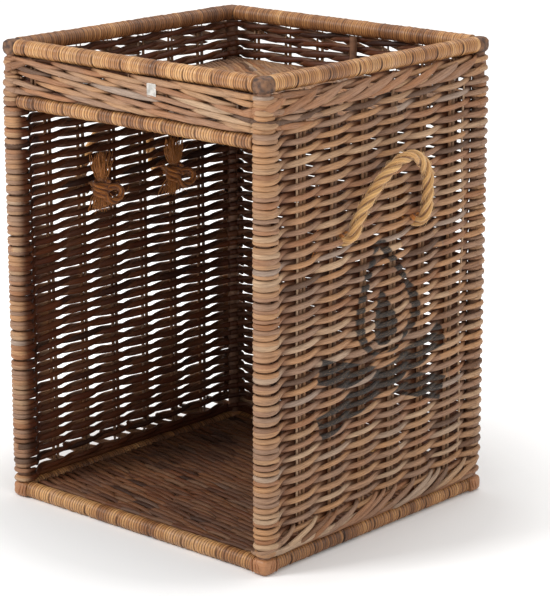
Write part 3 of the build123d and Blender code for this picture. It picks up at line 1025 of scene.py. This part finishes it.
def binding(name, outward, usual_tone, tone_spread, pitch, groove, material):
    """Cane wound round a pole, turn by turn, with a slot here and there where a stake passes under it."""
    node = "middle_front_binding" if name == "middle" else f"{name}_binding"
    start, end, axis, radius, centre = pole_of(node)
    ahead = np.eye(3)[axis]
    angles = circle(AROUND_STEPS)
    spokes = np.outer(np.cos(angles), outward) + np.outer(np.sin(angles), UP)
    slot_share = np.clip(np.cos(angles + 0.7), 0, 1) ** 0.7  # the slots are open outward and down

    rings, along, tones, recess_shade = [], [], [], []
    reached = start
    next_slot = reached + rng.uniform(0.3, 0.8) * NOTCH_PITCH
    tone_drift = 0.0
    while reached < end:
        turn_width = min(max(rng.normal(pitch, 0.35 * MM), NARROWEST_TURN), end - reached + 0.1 * MM)
        is_slot = reached > next_slot
        if is_slot:
            next_slot += rng.normal(NOTCH_PITCH, 6 * MM)
            turn_width = rng.uniform(2.2, 3.4) * MM
        lean = rng.normal(0.5, 0.5) * MM
        swell = rng.normal(0, 0.22) * MM
        tone_drift = 0.85 * tone_drift + rng.normal(0, 0.09)
        tone = pick_tone(usual_tone + tone_drift, tone_spread)
        for share, height in RING_SECTION:
            reach = np.full(AROUND_STEPS, radius - 0.3 * MM + (groove * height + swell))
            # painted shade, deepest at the bottom of the groove between turns
            groove_shade = np.full(AROUND_STEPS, -0.9 * height)
            if is_slot:
                reach -= SLOT_DEPTH * slot_share
                # painted shade in the slots as well
                groove_shade = np.maximum(groove_shade, slot_share)
            at = np.clip(reached + share * turn_width + lean * np.sin(angles), start, end)
            rings.append(spokes * reach[:, None] + np.outer(at - centre[axis], ahead) + np.array(centre))
            along.append(at[0])
            tones.append(tone)
            recess_shade.append(groove_shade)
        reached += turn_width

    rings = np.array(rings)
    rings[..., 2] = np.maximum(rings[..., 2], 0.3 * MM)
    bundle = Bundle()
    bundle.add(rings, np.array(along), np.array(tones), np.clip(recess_shade, 0, 1))
    bundle.piece(f"{name}_cane", material, "cane_binding", "basket", [node])


def bindings(material):
    """The two rims and the middle rail. The left and back top rims are browner than the front and right."""
    for side, outward, top_tone, base_tone in (
        ("front", (0, -1, 0), 0.60, 0.64),
        ("back", (0, 1, 0), 0.44, 0.46),
        ("left", (-1, 0, 0), 0.36, 0.46),
        ("right", (1, 0, 0), 0.62, 0.46),
    ):
        binding(f"top_{side}", outward, top_tone, 0.07, RIM_PITCH, 0.8 * MM, material)
        binding(f"base_{side}", outward, base_tone, 0.09, BASE_PITCH, 1.2 * MM, material)
    binding("middle", (0, -1, 0), 0.48, 0.13, BASE_PITCH, 1.4 * MM, material)


# ---------------------------------------------------------------- floors


# Each floor's strokes: the share of the rods' pitch that half a stroke spans, how far it slants, the spacing
# between strokes, their width and thickness, how uneven they are, and how much painted shade they get
TRAY_LOOK = {
    "half_share": 0.52,
    "slant": 44 * MM,
    "spacing": 8.6 * MM,
    "width": 6.8 * MM,
    "thickness": 4.8 * MM,
    "uneven": 0.0,
    "floor_shade": 0.12,
}
LOG_FLOOR_LOOK = {
    "half_share": 0.68,
    "slant": 13 * MM,
    "spacing": 11.6 * MM,
    "width": 8.4 * MM,
    "thickness": 6.0 * MM,
    "uneven": 7 * MM,
    "floor_shade": 0.78,
}
# Places along a stroke, and how high it stands there
STROKE_ARCH = ((-1.0, -1.2), (-0.6, 0.45), (0.0, 1.0), (0.6, 0.45), (1.0, -1.2))
SHORTEST_STROKE = 12 * MM


def floor_weave(name, node, rods_node, look, material):
    """Close slanting strokes between the rods of a floor, over each rod and under the next."""
    low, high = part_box(node)
    rod_low, rod_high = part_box(rods_node)
    pitch = (rod_high.x - rod_low.x - 7 * MM) / (FLOOR_RODS - 1)
    level = (low.z + high.z) / 2
    width, thickness, slant = look["width"], look["thickness"], look["slant"]
    crown = (high.z - low.z) / 2 - thickness / 2 + 0.6 * MM
    taper = [0.75 * width, width, width, 0.75 * width]
    bundle = Bundle()
    columns = math.floor(high.x / pitch * 2)
    for column in range(-columns, columns + 1):
        lift = 0.5 * MM if column % 2 else 0.0
        y = low.y - slant / 2 + (0.5 if column % 2 else 0.0) * look["spacing"]
        while y < high.y + slant / 2:
            points = []
            middle_x = column * pitch / 2 + rng.normal(0, look["uneven"])
            for offset, height in STROKE_ARCH:
                at_x = middle_x + offset * look["half_share"] * pitch
                at_x = np.clip(at_x, low.x + 2 * MM, high.x - 2 * MM)
                at_y = y - offset * slant / 2 + rng.normal(0, 0.3) * MM
                at_y = np.clip(at_y, low.y + 3 * MM, high.y - 3 * MM)
                points.append((at_x, at_y, level + crown * height * 0.92 + lift))
            if abs(points[0][0] - points[-1][0]) > SHORTEST_STROKE:
                tone = pick_tone()
                # painted shade on the strokes, deep on the log floor
                bundle.strand(points, taper, thickness, tone, ACROSS_Y, 7 * MM, recess_shade=look["floor_shade"])
            y += look["spacing"] * rng.uniform(0.92, 1.08)
    underside_rows(bundle, low, high, level - 0.5 * crown, width, thickness)
    bundle.piece(name, material, "weave", "basket", [node])


def underside_rows(bundle, low, high, level, width, thickness):
    """Strands straight across under the strokes, which close the floor as seen from above and below."""
    y = low.y + width / 2
    while y < high.y - width / 2:
        reach = high.x - 2 * MM
        if abs(y) > WRAP_Y:
            reach = min(reach, WRAP_X - 2 * MM)
        points = [(x, y, level + rng.normal(0, 0.5) * MM) for x in np.linspace(-reach, reach, 9)]
        # painted shade on the rows under the strokes
        bundle.strand(points, width, thickness, pick_tone(), ACROSS_Y, 14 * MM, recess_shade=0.8)
        y += width * 1.02


def floors(material):
    floor_weave("tray_strokes", "tray_floor_weave", "tray_floor_rods", TRAY_LOOK, material)
    floor_weave("log_floor_strokes", "log_floor_weave", "log_floor_rods", LOG_FLOOR_LOOK, material)


# ---------------------------------------------------------------- feet, post ends and other small parts


def rounded_block(bundle, centre, size, roughness, exponent, tone):
    """A closed rounded block with an uneven surface."""
    rows, sides = 24, 36
    polar = np.linspace(0.02, math.pi - 0.02, rows)[:, None]
    angles = circle(sides)[None, :]
    flat = np.sin(polar)
    direction = np.stack([flat * np.cos(angles), flat * np.sin(angles), np.cos(polar) + 0 * angles], axis=-1)
    reach = np.sum(np.abs(direction) ** exponent, axis=-1) ** (-1 / exponent)
    waves = rng.normal(0, 1, (6, 3)) * 6
    phases = rng.uniform(0, 6.3, 6)
    uneven = sum(np.sin(direction @ wave + phase) for wave, phase in zip(waves, phases)) / 6
    rings = direction * (reach * (1 + roughness * uneven))[..., None] * np.array(size) / 2
    bundle.add(rings + np.array(centre), np.linspace(0, 0.03, rows), tone)


def corner_blocks(knob_material, foot_material):
    """The fibrous ends of the posts in the top rim's corners, and the skins folded over the base rim's."""
    feet = Bundle()
    for x in (-1, 1):
        for y in (-1, 1):
            place = f"{'front' if y < 0 else 'back'}_{'left' if x < 0 else 'right'}"
            knob = Bundle()
            middle_z = (RIM_TOP + RIM_LOW) / 2 - 0.6 * MM
            centre = (x * (POST_X - 0.6 * MM), y * (POST_Y - 0.6 * MM), middle_z)
            size = np.array([26.5, 26.5, RIM_TOP / MM - RIM_LOW / MM - 1.5]) * MM
            rounded_block(knob, centre, size, 0.05, 3.2, 0.3)
            knob.piece(f"{place}_post_end", knob_material, "rattan_pole", "basket", [], recess_shade=no_recess_shade)
            foot(feet, x, y)
    feet.piece("foot_skins", foot_material, "cane_binding", "basket", ["foot_caps"], recess_shade=no_recess_shade)


FOOT_STRIPS = ((-13.5, 3, 0.35), (-9.0, 6, 0.55), (-4.5, 8, 0.45))  # mm from the corner, lean in mm, and tone
FOOT_STRIP_DEPTHS = ((0.10, 11.4), (0.3, 13.4), (0.62, 13.6), (0.95, 11.2))  # at shares of the height, in mm


def foot(feet, x, y):
    """One corner of the base rim: a rounded block with strips folded over its two outer sides."""
    height = BASE_TOP - 0.8 * MM
    centre = np.array([x * (POST_X - 0.5 * MM), y * (POST_Y - 0.5 * MM), height / 2 + 0.3 * MM])
    rounded_block(feet, centre, np.array([27 * MM, 27 * MM, height]), 0.02, 4.5, 0.62)
    for along, out in (((x, 0), (0, y)), ((0, y), (x, 0))):
        along, out = np.array(along, float), np.array(out, float)
        for offset, lean, tone in FOOT_STRIPS:
            points = []
            for share, depth in FOOT_STRIP_DEPTHS:
                flat = centre[:2] + along * (offset + lean * (1 - share)) * MM + out * depth * MM
                points.append((*flat, share * height))
            width = rng.normal(4.6, 0.5) * MM
            feet.strand(points, width, 2.8 * MM, tone, (*along, 0.0), 3 * MM, recess_shade=0.0)


def finish_cad_nodes(finishes):
    """Gives each CAD node that stays in view its material."""
    for node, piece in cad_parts.items():
        if piece.hide_render:
            continue
        material = next((m for ending, m in finishes.items() if node.endswith(ending)), None)
        if material is None:
            raise ValueError(f"no material for {node}")
        piece.data.materials.clear()
        piece.data.materials.append(material)


# ---------------------------------------------------------------- ropes

HOLE_Y = 77 * MM
HOLE_Z = 444 * MM
ROPE_ROUTE = [  # the right handle: out of its front hole, up over the top and into its back hole
    (0.243, -0.078, 0.437),
    (0.256, -0.0775, 0.441),
    (0.2645, -0.0765, 0.447),
    (0.266, -0.073, 0.464),
    (0.268, -0.056, 0.488),
    (0.270, -0.034, 0.511),
    (0.273, -0.010, 0.530),
    (0.275, 0.014, 0.542),
    (0.276, 0.040, 0.542),
    (0.276, 0.060, 0.526),
    (0.274, 0.071, 0.506),
    (0.270, 0.075, 0.482),
    (0.267, 0.078, 0.461),
    (0.2645, 0.0775, 0.447),
    (0.256, 0.0775, 0.441),
    (0.243, 0.078, 0.437),
]
ROPE_LAY = 15.5  # turns in a metre of rope
YARNS = 6  # in each of a rope's three strands
YARN_TWIST = 0.8  # of the rope's lay
KNOT_RADIUS = 17 * MM
KNOT_JOIN_X = 0.252  # where the knot's rope meets the handle's
TUFT_LIMIT_X = 0.2215  # short of the wall's inner face


def route_line(name, route, step=2.5 * MM):
    """Points along the smooth line that a rope's route controls."""
    curve = bpy.data.curves.new(name, "CURVE")
    curve.dimensions = "3D"
    curve.resolution_u = 12
    spline = curve.splines.new("NURBS")
    spline.points.add(len(route) - 1)
    for point, place in zip(spline.points, route):
        point.co = (*place, 1)
    spline.order_u = 3
    spline.use_endpoint_u = True
    holder = bpy.data.objects.new(name, curve)
    mesh = bpy.data.meshes.new_from_object(holder)
    line = np.array([vertex.co for vertex in mesh.vertices])
    bpy.data.objects.remove(holder)
    bpy.data.curves.remove(curve)
    bpy.data.meshes.remove(mesh)
    reached = travelled(line)
    where = np.linspace(0, reached[-1], int(reached[-1] / step) + 1)
    return np.stack([np.interp(where, reached, line[:, axis]) for axis in range(3)], axis=1)


def carried_frames(line, start_up):
    """Two axes across a line at each point, carried along it without twisting."""
    ahead = unit(np.gradient(line, axis=0))
    first = np.empty_like(line)
    axis = unit(np.array(start_up) - ahead[0] * np.dot(start_up, ahead[0]))
    for i, direction in enumerate(ahead):
        axis = unit(axis - direction * np.dot(axis, direction))
        first[i] = axis
    return ahead, first, np.cross(ahead, first)


def laid_rope(bundle, line, diameter, tone):
    """Three strands laid round each other along a line, each of six yarns."""
    _, first, second = carried_frames(line, ACROSS_Y)
    length = travelled(line)
    lay_radius = 0.255 * diameter
    strand_radius = 0.262 * diameter
    for strand in range(3):
        angle = length * ROPE_LAY * 2 * math.pi + strand * 2 * math.pi / 3
        outward = first * np.cos(angle)[:, None] + second * np.sin(angle)[:, None]
        twist = length * YARN_TWIST * ROPE_LAY * 2 * math.pi
        rings, groove = yarned_tube(line + outward * lay_radius, strand_radius, outward, twist)
        distance = np.linalg.norm(rings - line[:, None, :], axis=2)
        # painted shade towards the rope's core and in the grooves between yarns
        core_shade = np.clip(1.3 - distance / (0.40 * diameter), 0, 1)
        bundle.add(rings, length, tone + 0.10 * strand, np.clip(core_shade + 0.34 * groove, 0, 1))


def yarned_tube(path, radius, facing, twist, sides=24):
    """A tube ridged like a bundle of yarns, and how deep in a groove each of its points lies."""
    ahead = unit(np.gradient(path, axis=0))
    up = unit(facing - ahead * np.sum(facing * ahead, axis=1, keepdims=True))
    angles = circle(sides)
    groove = 0.5 - 0.5 * np.cos(YARNS * (angles[None, :] + twist[:, None] / YARNS * 2))
    reach = (radius * (1 - 0.07 * groove))[..., None]
    return rings_round(path, up, np.cross(ahead, up), angles, reach, reach), groove


def stray_fibres(bundle, line, diameter, count, reach, tone):
    """Short hairs that stand off a rope."""
    ahead, first, second = carried_frames(line, ACROSS_Y)
    for _ in range(count):
        i = int(rng.integers(3, len(line) - 3))
        angle = rng.uniform(0, 2 * math.pi)
        out = first[i] * math.cos(angle) + second[i] * math.sin(angle)
        along = ahead[i] * rng.choice((-1, 1))
        root = line[i] + out * diameter * 0.42
        hair = rng.uniform(0.4, 1.0) * reach
        tip = root + out * hair * 0.35 + along * hair
        bend = (root + tip) / 2 + out * hair * 0.12
        bundle.strand([root, bend, tip], 0.45 * MM, 0.45 * MM, tone, step=hair / 3, sides=4, recess_shade=0.0)


def rope_handle(side, mirror, material):
    """The free rope of one handle, fixed in its wall at both ends."""
    route = [(mirror * x, y, z) for x, y, z in ROPE_ROUTE]
    line = route_line(f"{side}_rope_line", route)
    bundle = Bundle()
    laid_rope(bundle, line, ROPE_DIAMETER, 0.46)
    stray_fibres(bundle, line, ROPE_DIAMETER, 380, 10 * MM, 0.85)
    node = f"{side}_rope_handle"
    piece = bundle.piece(f"{side}_rope", material, "jute_rope", None, [node], recess_shade=no_recess_shade)
    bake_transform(piece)


def rope_knot(side, place, mirror, end, material):
    """The knot inside a wall that holds a handle's end, with its frayed tufts."""
    node = f"{side}_{place}_rope_knot"
    low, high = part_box(node)
    inner_x = low.x if mirror > 0 else high.x
    centre = np.array([inner_x + mirror * KNOT_RADIUS, end * HOLE_Y, HOLE_Z])
    bundle = Bundle()
    laid_rope(bundle, centre + knot_line(mirror), 0.62 * ROPE_DIAMETER, 0.12)
    wall_x = np.linspace(abs(centre[0]), KNOT_JOIN_X, 12)
    through = np.array([[mirror * x, end * HOLE_Y, HOLE_Z - 1 * MM] for x in wall_x])
    laid_rope(bundle, through, 0.96 * ROPE_DIAMETER, 0.3)
    frayed_tuft(bundle, centre + np.array([0, -2 * MM, 10 * MM]), 1, 46 * MM, 100, mirror)
    frayed_tuft(bundle, centre + np.array([0, -5 * MM, -8 * MM]), -1, 28 * MM, 110, mirror)
    stray_fibres(bundle, centre + knot_line(mirror), ROPE_DIAMETER, 120, 11 * MM, 0.4)
    bundle.piece(f"{side}_{place}_knot", material, "jute_rope", "basket", [node], recess_shade=no_recess_shade)


def knot_line(mirror):
    """The rope's way through a knot, about the knot's middle: three level wraps, then a loop beside them."""
    turns = np.linspace(0, 3, 60)
    angle = turns * 2 * math.pi
    wraps = np.stack([-mirror * 8 * np.cos(angle), 10.5 * np.sin(angle) - 2, 9 - 6.4 * turns], axis=1)
    swing = np.linspace(0, 1, 40)[1:] * 1.75 * math.pi
    loop_x = -mirror * 5 * np.sin(swing / 2)
    loop_y = 0.85 * (16 - 16 * np.cos(swing))
    loop = np.stack([loop_x, loop_y, -11 * np.sin(swing)], axis=1)
    return np.concatenate([wraps, wraps[-1] + loop]) * MM


def frayed_tuft(bundle, root, upward, length, count, mirror):
    """Loose yarns that fan out of a knot."""
    for _ in range(count):
        spread = rng.normal(0, 1, 2)
        reach = length * rng.uniform(0.6, 1.0)
        base = root + np.array([spread[0] * 2.8, spread[1] * 3.8, 0]) * MM
        flare = (7.5 * spread[1] - 3.5) * reach / length
        tip = base + np.array([spread[0] * 3.2 * MM, flare * MM, upward * reach])
        tip[0] = mirror * min(abs(tip[0]), TUFT_LIMIT_X)
        bend = (base + tip) / 2 + rng.normal(0, 2.4, 3) * MM
        tone = rng.uniform(0.0, 0.5)
        facing = (0.2, 1.0, 0.1)
        # a little painted shade on the tufts
        bundle.strand([base, bend, tip], 1.5 * MM, 1.1 * MM, tone, facing, 6 * MM, sides=4, recess_shade=0.1)


# ---------------------------------------------------------------- assembly

make_camera()
rope_material = rope_shader("jute", JUTE_COLOURS)
for side_name, side_sign in (("left", -1), ("right", 1)):
    rope_handle(side_name, side_sign, rope_material)
make_studio()

weave_material = strand_shader("weave", WEAVER_COLOURS, INNER_SHADE_COLOUR)
stencil_material = strand_shader("stencilled_weave", WEAVER_COLOURS, INNER_SHADE_COLOUR, paint=stencil_paint)
# the stakes' painted shade colour, for where they stand hidden among the weavers
stake_material = strand_shader("stake", WEAVER_COLOURS, srgb(140, 104, 78), roughness=0.6)
pole_material = pole_shader("rattan_pole", POLE_COLOURS)
knot_material = rope_shader("old_jute", OLD_JUTE_COLOURS)

weave_rows()
top_border()
base_border()
front_band()
corner_fill()
foot_loop()
lowest_rows()
for part_name, part_bundle in WALL_BUNDLES.items():
    stencilled = part_name == "right_wall_weave"
    part_bundle.piece(
        f"{part_name}_strands",
        stencil_material if stencilled else weave_material,
        "stencilled_weave" if stencilled else "weave",
        "basket",
        [part_name],
    )
stakes(stake_material)
bindings(cane_shader("cane_binding", CANE_COLOURS, GROOVE_SHADE_COLOUR))
floors(weave_material)
for side_name, side_sign in (("left", -1), ("right", 1)):
    for place_name, end_sign in (("front", -1), ("back", 1)):
        rope_knot(side_name, place_name, side_sign, end_sign, knot_material)
corner_blocks(
    pole_shader("post_end", POST_END_COLOURS, grain_scale=300, patch_share=0.5, relief=0.003),
    cane_shader("cane_skin", SKIN_COLOURS, GROOVE_SHADE_COLOUR),
)
cad_finishes = {ending: pole_material for ending in ("_pole", "_post", "_bearer", "_upright", "_rods")}
cad_finishes["frame_nails"] = metal_shader("steel_nail", srgb(150, 146, 140), 0.4)
cad_finishes["blank_tag"] = metal_shader("tag_metal", srgb(206, 202, 196), 0.4)
finish_cad_nodes(cad_finishes)
